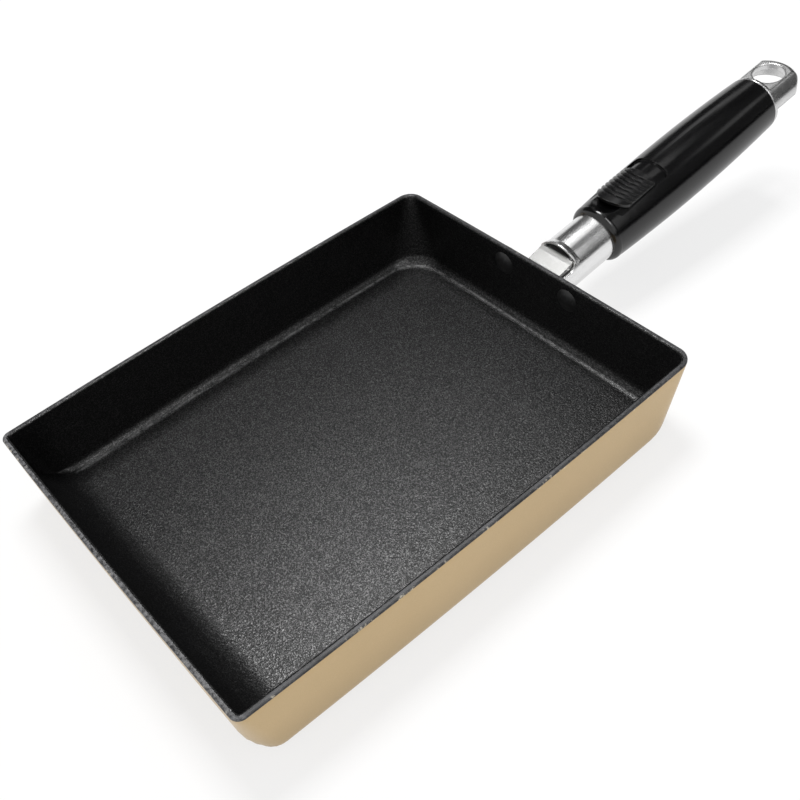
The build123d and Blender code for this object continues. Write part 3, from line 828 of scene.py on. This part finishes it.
def make_camera(stage):
    """The photograph's viewpoint, turned a little about its own axis."""
    azimuth, elevation, roll = stage.azimuth, stage.elevation, stage.roll
    flat = math.cos(elevation)
    back = Vector((math.sin(azimuth) * flat, -math.cos(azimuth) * flat, math.sin(elevation)))
    right = Vector((0.0, 0.0, 1.0)).cross(back).normalized()
    up = back.cross(right)
    across = math.cos(roll) * right + math.sin(roll) * up
    upright = math.cos(roll) * up - math.sin(roll) * right
    data = bpy.data.cameras.new("photo_view")
    data.sensor_width = 36.0
    data.lens = stage.lens
    data.clip_start = 10.0 * MM
    camera = bpy.data.objects.new("photo_view", data)
    camera.rotation_mode = "QUATERNION"
    camera.rotation_quaternion = Matrix((across, upright, back)).transposed().to_quaternion()
    camera.location = stage.place
    return camera


class OMELETTE_OT_stage(bpy.types.Operator):
    """Set the floor, the lights, the world and the camera"""

    bl_idname = "omelette.stage"
    bl_label = "Stage"

    def execute(self, context):
        scene, stage = context.scene, context.scene.omelette_stage
        lay_floor(stage)
        soft_light(
            "key", stage.key_power, width=0.42, height=0.36,
            place=(0.24, 0.38, 1.2), aim=(0.0, 0.0, 0.0),
        )
        soft_light(
            "fill", stage.fill_power, width=0.9, height=0.9,
            place=toward(-77.0, 39.0, 1.44), aim=(0.0, 0.0, 0.02),
        )
        for card in CARDS:
            hang_card(card, getattr(stage, card.shade))
        scene.world = make_world(stage)
        scene.camera = make_camera(stage)
        scene.collection.objects.link(scene.camera)
        scene.view_settings.view_transform = "Standard"
        return {"FINISHED"}


# Panel and registration

OPERATORS = (
    OMELETTE_OT_pan_body,
    OMELETTE_OT_bracket,
    OMELETTE_OT_tube,
    OMELETTE_OT_grip,
    OMELETTE_OT_cap,
    OMELETTE_OT_slide,
    OMELETTE_OT_clamp,
    OMELETTE_OT_stage,
)

SETTINGS = {
    "omelette_body": PanBodySettings,
    "omelette_handle": HandleSettings,
    "omelette_stage": StageSettings,
}


class OMELETTE_PT_panel(bpy.types.Panel):
    """Lists the pan's settings and the steps that build it"""

    bl_idname = "OMELETTE_PT_panel"
    bl_label = "Omelette pan"
    bl_space_type = "VIEW_3D"
    bl_region_type = "UI"
    bl_category = "Omelette pan"

    def draw(self, context):
        for attribute, group in SETTINGS.items():
            box = self.layout.box()
            settings = getattr(context.scene, attribute)
            for key in group.__annotations__:
                box.prop(settings, key)
        for operator in OPERATORS:
            self.layout.operator(operator.bl_idname)


def register():
    for group in SETTINGS.values():
        bpy.utils.register_class(group)
    for operator in OPERATORS:
        bpy.utils.register_class(operator)
    bpy.utils.register_class(OMELETTE_PT_panel)
    for attribute, group in SETTINGS.items():
        setattr(bpy.types.Scene, attribute, PointerProperty(type=group))


def unregister():
    for attribute in SETTINGS:
        delattr(bpy.types.Scene, attribute)
    bpy.utils.unregister_class(OMELETTE_PT_panel)
    for operator in reversed(OPERATORS):
        bpy.utils.unregister_class(operator)
    for group in reversed(SETTINGS.values()):
        bpy.utils.unregister_class(group)


def main():
    register()
    bpy.ops.omelette.pan_body()
    bpy.ops.omelette.bracket()
    bpy.ops.omelette.tube()
    bpy.ops.omelette.grip()
    bpy.ops.omelette.cap()
    bpy.ops.omelette.slide()
    bpy.ops.omelette.clamp()
    bpy.ops.omelette.stage()


if __name__ == "__main__":
    main()
